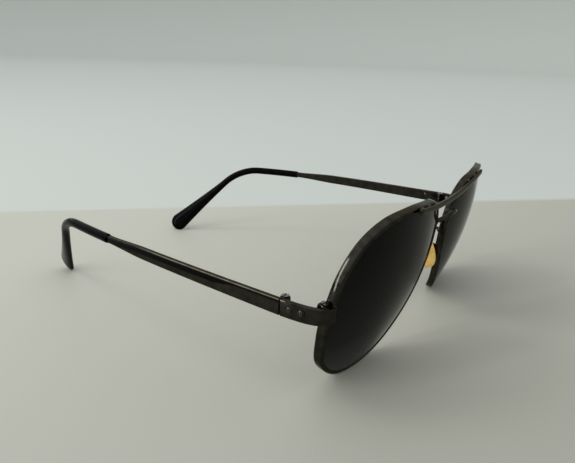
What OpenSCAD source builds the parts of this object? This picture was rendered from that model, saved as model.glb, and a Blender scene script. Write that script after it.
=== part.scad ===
// Metal aviator sunglasses, standing open on the lower rims and the two ear tips.
// +X is the wearer's left, -Y is forwards, +Z is up, and z = 0 is the surface they stand on.
// Everything is drawn for the wearer's left side and mirrored for the right.

/* [Front] */
// Width over the outer faces of the temples at the hinges
front_w = 138; // [130:1:150]
// Outer width of one rim
rim_w = 57.6; // [52:0.2:60]
// Outer height of one rim
rim_h = 50.4; // [42:0.2:60]
// Gap between the rims at the nose
nose_gap = 14; // [11:0.5:18]
// Radius of the sphere that the lens surfaces follow
lens_r = 96; // [80:1:140]
// Angle that each rim turns back around the face
wrap = 6.4; // [3:0.2:9]
// Angle that the lower edge of the front leans back
tilt = 14; // [6:0.5:18]
// Distance of the lens centres ahead of the hinge line
front_reach = 18.5; // [16:0.5:22]

/* [Rims and lenses] */
// Wall of the rim, seen from the front
rim_wall = 1.3; // [1:0.1:1.8]
// Depth of the rim from front to back
rim_depth = 2.4; // [2:0.1:3.4]
// Thickness of a lens
lens_t = 1.8; // [1.2:0.1:2]
// Depth of the groove that holds the bevelled lens edge
groove = 0.5; // [0.3:0.05:0.7]
// Clearance round a lens
lens_play = 0.03; // [0.02:0.01:0.1]
// Width of the cut through the rim at the closing blocks
rim_slit = 0.3; // [0.2:0.05:0.5]

/* [Bridges] */
// Distance between the two ends of the brow bar
brow_w = 70; // [50:1:76]
// Height of the brow bar's strip
brow_h = 1.7; // [1.2:0.1:2.4]
// Thickness of the brow bar's strip
brow_t = 1.1; // [0.8:0.1:1.6]
// Height of the middle of the brow bar above the lens centres
brow_mid = 21.8; // [19:0.1:24]
// Diameter of the round bridge wire
bridge_d = 1.5; // [1.1:0.1:2]
// Height of the bridge wire's ends on the rims above the lens centres
bridge_up = 14.5; // [10:0.5:17]
// Distance that the bridge wire bows forwards
bridge_bow = 3.4; // [1:0.2:5]

/* [End pieces and hinges] */
// Height of the end piece strip
end_h = 4.4; // [3.6:0.1:5.4]
// Thickness of the end piece and temple strips
strip_t = 1.5; // [1.2:0.1:1.8]
// Height of the hinge line's middle above the lens centres
hinge_up = 4.1; // [2:0.1:7]
// Distance that the end piece drops from the hinge to the rim
end_drop = 1; // [0.5:0.1:2.5]
// Gap between the end piece and the temple
butt_gap = 0.4; // [0.2:0.05:0.5]
// Outer diameter of the hinge barrel
barrel_d = 2.7; // [2.4:0.1:3.2]
// Length of the whole hinge barrel
barrel_l = 4.2; // [4:0.1:6]
// Diameter of the hinge and closing screws
screw_d = 1.2; // [1:0.05:1.4]
// Running clearance round the hinge screw
screw_play = 0.04; // [0.02:0.01:0.08]
// Gap between two knuckles of the hinge
knuckle_gap = 0.08; // [0.04:0.01:0.15]
// Thickness of the hinge leaves
leaf_t = 0.8; // [0.6:0.1:1]

/* [Temples] */
// Distance from the hinge line back to the start of the ear bend
ear_back = 86; // [74:1:94]
// Distance that the ear bend lies inwards of the hinge
ear_in = 13; // [6:0.5:20]
// Rise of the temple from the hinge to the ear bend
ear_rise = 2.4; // [0:0.1:5]
// Inward heading of the temple at the hinge
splay = 5.5; // [0:0.5:8]
// Upward heading of the temple at the hinge
temple_lift = 2; // [0:0.5:4]
// Inward heading of the temple at the ear bend
ear_turn = 16; // [8:1:26]
// Downward heading of the temple at the ear bend
ear_fall = 0.5; // [-3:0.5:4]
// Height of the temple strip at the hinge
temple_h = 4.3; // [3.6:0.1:5.2]
// Height of the temple strip where it starts to narrow
temple_mid_h = 3.5; // [2.8:0.1:4.2]
// Height of the temple strip where it enters the tip
temple_end_h = 2.1; // [1.8:0.1:2.6]
// Height of the enamel inlay in the outer face
inlay_h = 1.4; // [0.8:0.1:1.8]
// Depth of the enamel inlay
inlay_deep = 0.25; // [0.15:0.05:0.4]

/* [Tips] */
// Distance from the hinge line to the mouth of the plastic tip, along the temple
tip_from = 68; // [56:1:72]
// Length of the tip below the ear bend
tip_l = 39.5; // [34:0.5:50]
// Angle that the tip turns inwards below the ear bend
tip_in = 28; // [8:1:34]
// Height of the tip's sleeve
sleeve_h = 3; // [2.6:0.1:3.6]
// Width of the tip's sleeve
sleeve_w = 2.7; // [2.4:0.1:3.4]
// Breadth of the paddle at the end of the tip
paddle_w = 8; // [5.5:0.1:9]
// Thickness of the paddle
paddle_t = 2.5; // [2:0.1:3.2]
// Thickness of the core wire inside the tip
core_d = 1.3; // [1:0.1:1.6]

/* [Nose pads] */
// Length of a nose pad
pad_l = 14; // [11:0.5:16]
// Width of a nose pad
pad_w = 8; // [6:0.2:8.4]
// Thickness of a nose pad
pad_t = 2.2; // [1.8:0.1:2.6]
// Distance between the pad centres
pad_apart = 18; // [18:0.5:22]
// Distance of the pad centres behind the lens centres
pad_behind = 6; // [5.6:0.2:8]
// Distance of the pad centres below the lens centres
pad_down = 0.4; // [0:0.2:3]
// Angle that the pads open out downwards
pad_splay = 14; // [10:1:26]
// Angle that the pads open out towards the face
pad_turn = 20; // [15:1:32]
// Diameter of the pad arm wire
arm_d = 1.0; // [0.8:0.1:1.2]

/* [Hidden] */
$fn = 48;

METAL = [0.27, 0.27, 0.25];
DARK = [0.09, 0.09, 0.10];
AMBER = [0.85, 0.62, 0.28];

// Outline of the aviator rim in fractions of its half width and half height.
// It starts at the cut on the temple side and runs over the brow to the nose.
AVIATOR = [[1.00, 0.02], [0.945, 0.43], [0.76, 0.75], [0.45, 0.94], [0.06, 0.995],
           [-0.30, 0.985], [-0.64, 0.93], [-0.90, 0.73], [-0.995, 0.42], [-0.93, 0.03],
           [-0.77, -0.29], [-0.55, -0.60], [-0.27, -0.90], [0.10, -1.00], [0.49, -0.955],
           [0.82, -0.68], [0.97, -0.29]];
SPANS = len(AVIATOR);
PER_SPAN = 4;         // stations in each span of the outline

half_w = front_w / 2;
lens_x = nose_gap / 2 + rim_w / 2;
edge = 0.35;          // chamfer on the rim's outer edges
groove_root = 0.2;    // half the flat at the root of the groove
groove_mouth = 0.65;  // half the mouth of the groove

// ---- vectors and curves ----
function unit(v) = v / norm(v);
function mix(a, b, t) = a + (b - a) * t;
function ease(t) = t * t * (3 - 2 * t);
function clamp01(t) = min(1, max(0, t));
function heading(turn, rise) = [-sin(turn) * cos(rise), cos(turn) * cos(rise), sin(rise)];

// A point on the closed curve through the points p, with t in spans
function closed_curve(p, t) =
    let (n = len(p), i = floor(t), f = t - i,
         a = p[(i + n - 1) % n], b = p[i % n], c = p[(i + 1) % n], d = p[(i + 2) % n])
    (2 * b + f * (c - a) + f * f * (2 * a - 5 * b + 4 * c - d)
     + f * f * f * (3 * b - a - 3 * c + d)) / 2;

// A point on the Bezier curve with four control points
function bezier(p, t) =
    pow(1 - t, 3) * p[0] + 3 * t * pow(1 - t, 2) * p[1]
    + 3 * t * t * (1 - t) * p[2] + t * t * t * p[3];

function bezier_run(p, n, from = 0) = [for (i = [from:n]) bezier(p, i / n)];

// Heading of a row of points at number i
function along(path, i) =
    unit(path[min(i + 1, len(path) - 1)] - path[max(i - 1, 0)]);

// ---- the lens surface ----
// u is towards the temple, v is up and w is the depth behind the rim's front edge.
function outline(t, out) =
    let (h = 0.02,
         p = closed_curve(AVIATOR, t + SPANS), q = closed_curve(AVIATOR, t + SPANS + h),
         o = closed_curve(AVIATOR, t + SPANS - h),
         d = unit([(q.x - o.x) * rim_w, (q.y - o.y) * rim_h]))
    [p.x * rim_w / 2 + out * d.y, p.y * rim_h / 2 - out * d.x];

function sag(u, v) = lens_r - sqrt(lens_r * lens_r - u * u - v * v);

function tipped(u, v, w) =
    let (s = sag(u, v) + w, x = u * cos(wrap) - s * sin(wrap), y = u * sin(wrap) + s * cos(wrap))
    [lens_x + x, y * cos(tilt) - v * sin(tilt) - front_reach, y * sin(tilt) + v * cos(tilt)];

// Height that sets the lowest point of the rims on the surface
lens_z = -min([for (t = [0:0.25:SPANS - 0.25], w = [edge, rim_depth - edge])
               tipped(outline(t, 0).x, outline(t, 0).y, w).z]);
hinge_z = lens_z + hinge_up;

function on_lens(uv, w) = tipped(uv.x, uv.y, w) + [0, 0, lens_z];
function on_rim(t, out, w) = on_lens(outline(t, out), w);

module lens_frame() {
    translate([lens_x, -front_reach, lens_z]) rotate([tilt, 0, 0]) rotate([0, 0, wrap]) children();
}

// ---- solids from rows of rings ----
function quads(a, b, n) =
    [for (j = [0:n - 1]) each let (k = (j + 1) % n)
        [[a + j, b + j, b + k], [a + j, b + k, a + k]]];

// The first and last rings are closed by a fan of triangles, or by the cap's triangles if given.
module skin(rings, cap = []) {
    n = len(rings[0]);
    last = (len(rings) - 1) * n;
    ends = len(cap) > 0 ? cap : [for (j = [1:n - 2]) [0, j, j + 1]];
    polyhedron(
        points = [for (r = rings) each r],
        faces = concat(
            ends,
            [for (i = [0:len(rings) - 2]) each quads(i * n, (i + 1) * n, n)],
            [for (f = ends) [last + f[0], last + f[2], last + f[1]]]),
        convexity = 8);
}

// A ring with its middle at p, square to the heading d, from [sideways, up] offsets
function ring(p, d, shape, lean = [0, 0, 1]) =
    let (side = unit(cross(d, lean)), up = cross(side, d))
    [for (s = shape) p + s.x * side + s.y * up];

function ellipse(a, b, n = 16) =
    [for (i = [0:n - 1]) let (q = -360 * i / n) [a * cos(q), b * sin(q)]];

// A rectangle w wide and h high with its corners cut off by c
function strip(w, h, c) =
    [[w / 2, h / 2 - c], [w / 2, c - h / 2], [w / 2 - c, -h / 2], [c - w / 2, -h / 2],
     [-w / 2, c - h / 2], [-w / 2, h / 2 - c], [c - w / 2, h / 2], [w / 2 - c, h / 2]];

module wire(path, d) {
    skin([for (i = [0:len(path) - 1]) ring(path[i], along(path, i), ellipse(d / 2, d / 2, 12))]);
}

module mirrored(side) {
    if (side < 0) mirror([1, 0, 0]) children();
    else children();
}

// ---- front ----
RIM_MID = rim_depth / 2;
RIM_SECTION = [[0, RIM_MID], [0, rim_depth - edge], [-edge, rim_depth], [-rim_wall, rim_depth],
               [-rim_wall, RIM_MID + groove_mouth], [groove - rim_wall, RIM_MID + groove_root],
               [groove - rim_wall, RIM_MID - groove_root], [-rim_wall, RIM_MID - groove_mouth],
               [-rim_wall, 0], [-edge, 0], [0, edge]];

slit_t = rim_slit / 2 / norm(outline(0.5, 0) - outline(0, 0)) / 2;
RIM_STATIONS = concat([slit_t], [for (i = [1:SPANS * PER_SPAN - 1]) i / PER_SPAN],
                      [SPANS - slit_t]);

module rim() {
    color(METAL) skin([for (t = RIM_STATIONS) [for (s = RIM_SECTION) on_rim(t, s.x, s.y)]]);
}

// The lens is a row of rings from the middle of its front, over its edge, to the middle of its back.
module lens() {
    front = (rim_depth - lens_t) / 2;
    back = front + lens_t;
    inner = -rim_wall - lens_play;
    root = inner + groove;
    n = SPANS * PER_SPAN;
    function face(k, w) =
        [for (i = [0:n - 1]) on_lens(outline(-i / PER_SPAN, inner) * k, w)];
    function rim_of_lens(out, w) = [for (i = [0:n - 1]) on_rim(-i / PER_SPAN, out, w)];
    color(DARK) skin(concat(
        [for (k = [0.06, 0.3, 0.55, 0.8, 1]) face(k, front)],
        [rim_of_lens(inner, RIM_MID - groove_mouth),
         rim_of_lens(root, RIM_MID - groove_root),
         rim_of_lens(root, RIM_MID + groove_root),
         rim_of_lens(inner, RIM_MID + groove_mouth)],
        [for (k = [1, 0.8, 0.55, 0.3, 0.06]) face(k, back)]));
}

// The brow bar is a flat strip that dips over the nose and is brazed to the rims' front edges.
brow_end_t = 4.3;     // place on the outline where the brow bar ends
braze = 0.12;         // depth that brazed pieces sink into each other
brow_y = min([for (t = [brow_end_t:0.1:6.5]) on_rim(t, -rim_wall / 2, 0).y]) - brow_t / 2 + braze;

module brow_bar() {
    steps = 24;
    end_z = on_rim(brow_end_t, -rim_wall / 2, 0).z;
    dip = end_z - lens_z - brow_mid;
    path = [for (i = [-steps:steps]) let (k = i / steps)
            [k * brow_w / 2, brow_y, end_z - dip * (1 - k * k)]];
    color(METAL) skin([for (i = [0:len(path) - 1])
                       ring(path[i], along(path, i), strip(brow_t, brow_h, brow_t / 4))]);
}

// Place on the nose side of the outline that is nearest to a height above the lens centres
function nasal_t(up) =
    let (ts = [for (t = [6.2:0.05:11]) t], gaps = [for (t = ts) abs(on_rim(t, 0, 0).z - lens_z - up)])
    ts[search(min(gaps), gaps)[0]];

module bridge() {
    foot = on_rim(nasal_t(bridge_up), bridge_d * 0.1, RIM_MID - 0.3);
    knee = foot + [-1.5, -bridge_bow * 0.9, 1.2];
    top = [0, foot.y - bridge_bow, foot.z + 2];
    half = bezier_run([foot, knee, top + [foot.x * 0.45, 0, 0], top], 10);
    path = concat([for (p = half) [-p.x, p.y, p.z]], [for (i = [9:-1:0]) half[i]]);
    color(METAL) wire(path, bridge_d);
}

// ---- end piece, closing blocks and hinge ----
HINGE = [half_w - strip_t / 2, 0, hinge_z];   // middle of the temple strip at the hinge line
seat_sink = 0.15;     // depth that the end piece sinks into the front of the rim
end_seat = on_rim(0, -rim_wall * 0.6, seat_sink - strip_t / 2);
end_path = bezier_run([HINGE - [0, butt_gap / 2, 0],
                       HINGE + [0.3, -6.6, -0.3],
                       [end_seat.x + 4.4, end_seat.y + 0.9, hinge_z - end_drop],
                       [end_seat.x, end_seat.y, hinge_z - end_drop]], 20);

module end_piece() {
    color(METAL) skin([for (i = [0:len(end_path) - 1])
        let (d = i == 0 ? [0, -1, 0] : along(end_path, i))
        ring(end_path[i], d, strip(strip_t, end_h, strip_t / 5))]);
}

// The closing blocks stand on the rim's temple side, above and below its cut.
block_w = 2.5;        // block width away from the rim
block_d = 3.1;        // block depth from front to back
block_up = 3.2;       // top of the upper block above the cut
block_down = 1.9;     // bottom of the lower block below the cut
cut = outline(0, 0);
block_sink = 0.4;     // depth that the blocks sink into the outside of the rim
block_x = cut.x - block_sink;
block_y = sag(cut.x, cut.y) + seat_sink - braze;
screw_x = block_x + block_w / 2 + 0.1;
screw_y = block_y + block_d * 0.58;

module block(low, high) {
    lens_frame() difference() {
        translate([block_x, block_y, cut.y + low]) cube([block_w, block_d, high - low]);
        translate([screw_x, screw_y, cut.y + low - 1]) cylinder(d = screw_d, h = high - low + 2);
    }
}

module closing_block_upper() {
    color(METAL) block(rim_slit / 2, block_up);
}

module closing_block_lower() {
    color(METAL) block(-block_down, -rim_slit / 2);
}

// A cheese-head screw with its head's seat at z = 0, pointing down
module screw(length, head_d, head_h) {
    difference() {
        union() {
            cylinder(d = head_d, h = head_h);
            translate([0, 0, -length]) cylinder(d = screw_d, h = length + head_h / 2);
        }
        translate([-head_d, -head_d / 10, head_h * 0.55]) cube([head_d * 2, head_d / 5, head_h]);
    }
}

module closing_screw() {
    color(DARK) lens_frame() translate([screw_x, screw_y, cut.y + block_up])
        screw(block_up + block_down, screw_d * 1.6, 0.5);
}

axis_x = half_w - strip_t - barrel_d / 2 - 0.05;   // hinge axis, just clear of the strips
leaf_x = half_w - strip_t - leaf_t + braze;
knuckle_l = (barrel_l - 2 * knuckle_gap) / 3;
barrel_z = hinge_z - barrel_l / 2 - 0.15;
leaf_l = 7;           // length of each hinge leaf from the hinge line

module knuckle(from, length) {
    translate([axis_x, 0, from]) difference() {
        union() {
            cylinder(d = barrel_d, h = length);
            translate([leaf_x - axis_x, -barrel_d / 2 - 0.3, 0])
                cube([leaf_t, barrel_d / 2 + 0.3, length]);
        }
        translate([0, 0, -1]) cylinder(r = screw_d / 2 + screw_play, h = length + 2);
    }
}

module hinge_front() {
    color(METAL) {
        knuckle(barrel_z, knuckle_l);
        knuckle(barrel_z + barrel_l - knuckle_l, knuckle_l);
        translate([leaf_x, -leaf_l, hinge_z - end_h / 2 + 0.4])
            cube([leaf_t, leaf_l - barrel_d / 2 - 0.1, end_h - 0.8]);
    }
}

module hinge_screw() {
    color(DARK) translate([axis_x, 0, barrel_z + barrel_l])
        screw(barrel_l - 0.2, barrel_d * 0.8, 0.4);
}

rivet_y = [2.6, 5.9]; // places of the rivets ahead of the hinge line
module hinge_rivets() {
    color(METAL) for (y = rivet_y)
        translate([leaf_x + leaf_t / 2, -y, hinge_z]) rotate([0, 90, 0]) {
            cylinder(d = 1, h = leaf_t / 2 - braze + strip_t);
            translate([0, 0, leaf_t / 2 - braze + strip_t]) cylinder(d1 = 1.8, d2 = 1.1, h = 0.3);
        }
}

module hinge_temple() {
    translate([axis_x, 0, 0]) mirror([0, 1, 0]) translate([-axis_x, 0, 0]) color(METAL) {
        knuckle(barrel_z + knuckle_l + knuckle_gap, knuckle_l);
        translate([leaf_x, 0, hinge_z - temple_mid_h / 2 + 0.3]) rotate([0, 0, -splay])
            translate([0, -leaf_l, 0]) cube([leaf_t, leaf_l - barrel_d / 2 - 0.1, temple_mid_h - 0.6]);
    }
}

// ---- temple and tip ----
ear_in_dir = heading(ear_turn, -ear_fall);
ear_start = HINGE + [-ear_in, ear_back, ear_rise];
temple_dir = heading(splay, temple_lift);
temple_curve = [HINGE, HINGE + temple_dir * ear_back / 3,
                ear_start - ear_in_dir * ear_back / 3, ear_start];
ear_r = 9;            // length of the ear bend on each side of its corner
corner = ear_start + ear_in_dir * ear_r;

// Below the bend the tip turns down, and inwards about its broad side, so that the broad side
// stays upright against the head. Its round end then just touches the table.
function tip_low(bend) =
    let (s = sin(tip_in) * sin(bend)) norm([paddle_w / 2 * sqrt(1 - s * s), paddle_t / 2 * s]);
function tip_bend(low) = asin((corner.z - low) / (tip_l * cos(tip_in)));
bend_down = tip_bend(tip_low(tip_bend(paddle_w / 2)));
tip_dir = [-sin(tip_in), cos(tip_in) * cos(bend_down), -cos(tip_in) * sin(bend_down)];
tip_lean = [0, sin(bend_down), cos(bend_down)];
bend_curve = [ear_start, ear_start + ear_in_dir * ear_r * 0.6,
              corner + tip_dir * ear_r * 0.4, corner + tip_dir * ear_r];
TEMPLE_STEPS = 44;
BEND_STEPS = 8;
TIP_STEPS = 10;
SPINE = concat(bezier_run(temple_curve, TEMPLE_STEPS), bezier_run(bend_curve, BEND_STEPS, 1),
               [for (i = [1:TIP_STEPS]) corner + tip_dir * mix(ear_r, tip_l, i / TIP_STEPS)]);
LAST = len(SPINE) - 1;
mouth = round(tip_from / norm(ear_start - HINGE) * TEMPLE_STEPS);   // station of the tip's mouth
core_end = TEMPLE_STEPS + BEND_STEPS + 3;
core_from = mouth + 1;

function strip_h(i) =
    let (k = i / mouth)
    k < 0.72 ? mix(temple_h, temple_mid_h, k / 0.72)
             : mix(temple_mid_h, temple_end_h, ease((k - 0.72) / 0.28));
function spine_dir(i) = i == 0 ? temple_dir : along(SPINE, i);
// A ring on the spine, which leans over with the tip
function spine_ring(i, shape) =
    ring(SPINE[i], spine_dir(i), shape,
         unit(mix([0, 0, 1], tip_lean, clamp01((i - TEMPLE_STEPS) / BEND_STEPS))));

// The inlay's groove runs along the upper half of the outer face and thins out towards the hinge.
thin = 0.3;           // height of the groove where it is only a line
function inlay_top(i) = strip_h(i) / 2 - 0.45;
function inlay_low(i) =
    let (k = clamp01((i / mouth - 0.2) / 0.14))
    inlay_top(i) - min(mix(thin, inlay_h, ease(k)), strip_h(i) - 0.9);

function temple_shape(i) =
    let (a = strip_t / 2, b = strip_h(i) / 2, c = 0.25)
    [[a, b - c], [a, inlay_top(i)], [a - inlay_deep, inlay_top(i)],
     [a - inlay_deep, inlay_low(i)], [a, inlay_low(i)], [a, c - b], [a - c, -b], [c - a, -b],
     [-a, c - b], [-a, b - c], [c - a, b], [a - c, b]];
// Triangles that close the temple's end without crossing the groove
TEMPLE_CAP = [[0, 1, 2], [2, 11, 0], [2, 10, 11], [2, 9, 10], [2, 3, 9],
              [3, 8, 9], [3, 7, 8], [3, 6, 7], [3, 5, 6], [3, 4, 5]];
CORE_ANGLES = [40, 20, 8, -8, -20, -40, -70, -110, -150, -210, -250, -290];
function core_shape(d) = [for (q = CORE_ANGLES) [d / 2 * cos(q), d / 2 * sin(q)]];

// The cut end of the temple faces the end piece across the butt gap.
function temple_at(i) = SPINE[i] + (i == 0 ? [0, butt_gap / 2, 0] : [0, 0, 0]);

module temple() {
    color(METAL) skin(concat(
        [for (i = [0:mouth]) ring(temple_at(i), i == 0 ? [0, 1, 0] : spine_dir(i), temple_shape(i))],
        [for (i = [core_from:core_end]) ring(SPINE[i], spine_dir(i), core_shape(core_d))]),
        TEMPLE_CAP);
}

module temple_inlay() {
    function bed(i) = let (a = strip_t / 2)
        [[a, inlay_top(i)], [a, inlay_low(i)], [a - inlay_deep, inlay_low(i)],
         [a - inlay_deep, inlay_top(i)]];
    color(DARK) skin([for (i = [0:mouth])
                      ring(temple_at(i), i == 0 ? [0, 1, 0] : spine_dir(i), bed(i))]);
}

// The plastic tip: its bore's rings from the deep end out to the mouth, then its outer rings.
tip_play = 0.02;      // clearance round the core wire
PADDLE_FROM = LAST - TIP_STEPS + 1;
function tip_size(i) =
    let (k = clamp01((i - PADDLE_FROM) / (LAST - PADDLE_FROM)))
    [mix(sleeve_w, paddle_t, ease(k)) / 2, mix(sleeve_h, paddle_w, pow(k, 1.3)) / 2];

// The rounded end of the paddle
TIP_END = let (e = tip_size(LAST))
    [for (q = [20:17:88])
     each ring(SPINE[LAST] + tip_dir * e.y * sin(q), tip_dir,
               ellipse(e.x * pow(cos(q), 0.6), e.y * cos(q)), tip_lean)];

module temple_tip() {
    bore = core_d / 2 + tip_play;
    mouth_shape = [strip_t / 2 + tip_play, temple_end_h / 2 + tip_play];
    color(DARK) skin(concat(
        [for (i = [core_end:-1:core_from])
         ring(SPINE[i] + (i == core_end ? spine_dir(i) * 0.3 : [0, 0, 0]), spine_dir(i),
              ellipse(bore, bore))],
        [ring(SPINE[mouth], spine_dir(mouth), ellipse(mouth_shape.x * 1.15, mouth_shape.y * 1.15))],
        [ring(SPINE[mouth], spine_dir(mouth), ellipse(sleeve_w / 2 - 0.1, sleeve_h / 2 - 0.1))],
        [for (i = [mouth + 1:LAST]) spine_ring(i, ellipse(tip_size(i).x, tip_size(i).y))],
        [for (i = [0:16:len(TIP_END) - 16]) [for (j = [0:15]) TIP_END[i + j]]]));
}

// ---- nose pads ----
pad_at = [pad_apart / 2, pad_behind - front_reach, lens_z - pad_down];
module pad_frame() {
    translate(pad_at) rotate([0, 0, -pad_turn]) rotate([0, -pad_splay, 0]) children();
}

box_in = pad_t / 2 + 0.25;   // inner face of the box, behind the pad
box_w = 1.5;
box_l = 3.2;
box_h = 2.4;
pad_axis_x = box_in + box_w / 2;

// A teardrop disc, narrower at its top, with rounded edges
module nose_pad() {
    function half(z) = pad_w / 2 * sqrt(max(0, 1 - pow(2 * z / pad_l, 2))) * (1 - 0.42 * z / pad_l);
    levels = [for (q = [-84:14:84]) pad_l / 2 * sin(q)];
    color(AMBER) pad_frame() skin([for (z = levels)
        [for (i = [0:15]) let (q = 360 * i / 16, edge_t = pad_t / 2 * pow(half(z) / pad_w * 2, 0.35))
         [edge_t * cos(q) * (0.55 + 0.45 * abs(cos(q))), half(z) * sin(q), z]]]);
}

module pad_insert() {
    color(METAL) pad_frame() difference() {
        union() {
            translate([0, -0.5, -0.8]) cube([pad_axis_x, 1, 1.6]);
            translate([pad_axis_x, 0.5, 0]) rotate([90, 0, 0]) cylinder(d = 1.6, h = 1);
        }
        translate([pad_axis_x, 1, 0]) rotate([90, 0, 0])
            cylinder(d = 0.7 + 2 * screw_play, h = 2);
    }
}

// The box is a channel: a back wall with a cheek on each side of the insert.
module pad_box() {
    cheek = (box_l - 1.2) / 2;
    color(METAL) pad_frame() difference() {
        union() {
            translate([pad_axis_x + 0.95, -box_l / 2, -box_h / 2]) cube([0.5, box_l, box_h]);
            for (s = [-1, 1]) translate([box_in, s * (box_l - cheek) / 2 - cheek / 2, -box_h / 2])
                cube([box_w + 0.6, cheek, box_h]);
        }
        translate([pad_axis_x, box_l, 0]) rotate([90, 0, 0]) cylinder(d = 0.7, h = 2 * box_l);
    }
}

module pad_screw() {
    color(DARK) pad_frame() translate([pad_axis_x, -box_l / 2, 0]) rotate([90, 0, 0]) {
        translate([0, 0, -box_l]) cylinder(d = 0.7, h = box_l);
        cylinder(d = 1.2, h = 0.35);
    }
}

module pad_arm() {
    root = on_rim(nasal_t(7.5), -rim_wall / 2, rim_depth - 0.3);
    spot = pad_at + [cos(pad_turn), -sin(pad_turn), 0] * (pad_axis_x + 1.3);
    curl = bezier_run([root, root + [0.2, 7.5, 3.5], spot + [5, 4.5, 6], spot], 22);
    color(METAL) wire(curl, arm_d);
}

// The middle of the whole box is over the origin, between the brow bar's front and the tips' ends.
rear_y = max([for (p = TIP_END) p.y]);
module on_table() {
    translate([0, (brow_t / 2 - brow_y - rear_y) / 2, 0]) children();
}

module part(side) {
    on_table() mirrored(side) children();
}

part(1) rim();  // rim_left
part(-1) rim();  // rim_right
part(1) lens();  // lens_left
part(-1) lens();  // lens_right
part(1) brow_bar();
part(1) bridge();
part(1) end_piece();  // end_piece_left
part(-1) end_piece();  // end_piece_right
part(1) closing_block_upper();  // closing_block_upper_left
part(-1) closing_block_upper();  // closing_block_upper_right
part(1) closing_block_lower();  // closing_block_lower_left
part(-1) closing_block_lower();  // closing_block_lower_right
part(1) closing_screw();  // closing_screw_left
part(-1) closing_screw();  // closing_screw_right
part(1) hinge_front();  // hinge_front_left
part(-1) hinge_front();  // hinge_front_right
part(1) hinge_rivets();  // hinge_rivets_left
part(-1) hinge_rivets();  // hinge_rivets_right
part(1) hinge_screw();  // hinge_screw_left
part(-1) hinge_screw();  // hinge_screw_right
part(1) hinge_temple();  // hinge_temple_left
part(-1) hinge_temple();  // hinge_temple_right
part(1) temple();  // temple_left
part(-1) temple();  // temple_right
part(1) temple_inlay();  // temple_inlay_left
part(-1) temple_inlay();  // temple_inlay_right
part(1) temple_tip();  // temple_tip_left
part(-1) temple_tip();  // temple_tip_right
part(1) pad_arm();  // pad_arm_left
part(-1) pad_arm();  // pad_arm_right
part(1) pad_box();  // pad_box_left
part(-1) pad_box();  // pad_box_right
part(1) pad_screw();  // pad_screw_left
part(-1) pad_screw();  // pad_screw_right
part(1) pad_insert();  // pad_insert_left
part(-1) pad_insert();  // pad_insert_right
part(1) nose_pad();  // nose_pad_left
part(-1) nose_pad();  // nose_pad_right
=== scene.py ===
# %% [markdown]
# # Metal aviator sunglasses
#
# A pair of aviators is mostly wire and strip: two rims bent to a teardrop, a brow bar and a
# bridge between them, two flat temples, and plastic only where it touches the skin. The moving
# frame is loaded first. Every piece made below lies exactly where that frame's solids are, rides
# on one of its bodies, and hides the plain solid that it stands for.

import math

import bmesh
import bpy
from mathutils import Matrix, Vector


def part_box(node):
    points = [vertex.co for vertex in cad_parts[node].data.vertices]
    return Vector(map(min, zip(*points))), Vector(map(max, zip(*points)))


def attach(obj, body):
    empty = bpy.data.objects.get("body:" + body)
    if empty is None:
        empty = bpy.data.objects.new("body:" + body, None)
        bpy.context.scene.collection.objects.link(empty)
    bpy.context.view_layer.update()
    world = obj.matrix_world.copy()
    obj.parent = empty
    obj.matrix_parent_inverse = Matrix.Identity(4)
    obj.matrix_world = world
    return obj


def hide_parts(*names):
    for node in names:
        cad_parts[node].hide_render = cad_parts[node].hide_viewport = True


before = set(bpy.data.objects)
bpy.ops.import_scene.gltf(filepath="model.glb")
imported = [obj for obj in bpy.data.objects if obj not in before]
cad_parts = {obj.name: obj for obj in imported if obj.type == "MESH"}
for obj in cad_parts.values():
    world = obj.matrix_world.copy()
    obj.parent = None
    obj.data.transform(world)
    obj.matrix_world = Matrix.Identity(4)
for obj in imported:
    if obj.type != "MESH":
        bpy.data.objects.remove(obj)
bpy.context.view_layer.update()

# %% [markdown]
# ## The sizes of the pair
#
# Everything is thought of in millimetres, as a maker would, and turned to metres at the very end.
# Only a few sizes drive the shape. The hinge line comes from the frame itself: the middle of the
# left hinge screw says how far forward or back the whole front sits.

# %% Driving sizes
MM = 0.001
HALF_W = 69.0           # middle plane to the outside of a temple at the hinge
RIM_W, RIM_H = 57.6, 50.4
NOSE_GAP = 14.0
RIM_WALL, RIM_DEPTH = 1.3, 2.4
LENS_R = 96.0           # radius of the sphere that the lenses follow
LENS_T = 1.8
WRAP, TILT = math.radians(6.4), math.radians(14)
FRONT_REACH = 18.5      # lens centres ahead of the hinge line
HINGE_UP = 4.1          # hinge line above the lens centres
STRIP_T = 1.5           # thickness of end pieces and temples

low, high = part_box("hinge_screw_left")
HINGE_Y = (low.y + high.y) / 2 / MM
AXIS_X = (low.x + high.x) / 2 / MM
LENS_X = (NOSE_GAP + RIM_W) / 2
print(f"hinge line {AXIS_X:.2f} mm out and {HINGE_Y:.2f} mm along")

# %% [markdown]
# ## The teardrop outline
#
# The rim's outline is a closed curve through seventeen knots, each a fraction of the half
# width and half height. Bezier handles would need three times the numbers. A Catmull-Rom
# curve passes through its knots, so the shape is easy to steer, and a place on it is one number:
# knot number plus the fraction to the next one.

# %% Curves
AVIATOR = [(1.00, 0.02), (0.945, 0.43), (0.76, 0.75), (0.45, 0.94), (0.06, 0.995),
           (-0.30, 0.985), (-0.64, 0.93), (-0.90, 0.73), (-0.995, 0.42), (-0.93, 0.03),
           (-0.77, -0.29), (-0.55, -0.60), (-0.27, -0.90), (0.10, -1.00), (0.49, -0.955),
           (0.82, -0.68), (0.97, -0.29)]
SPANS = len(AVIATOR)


def mix(a, b, t):
    return a + (b - a) * t


def ease(t):
    t = min(1, max(0, t))
    return t * t * (3 - 2 * t)


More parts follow.
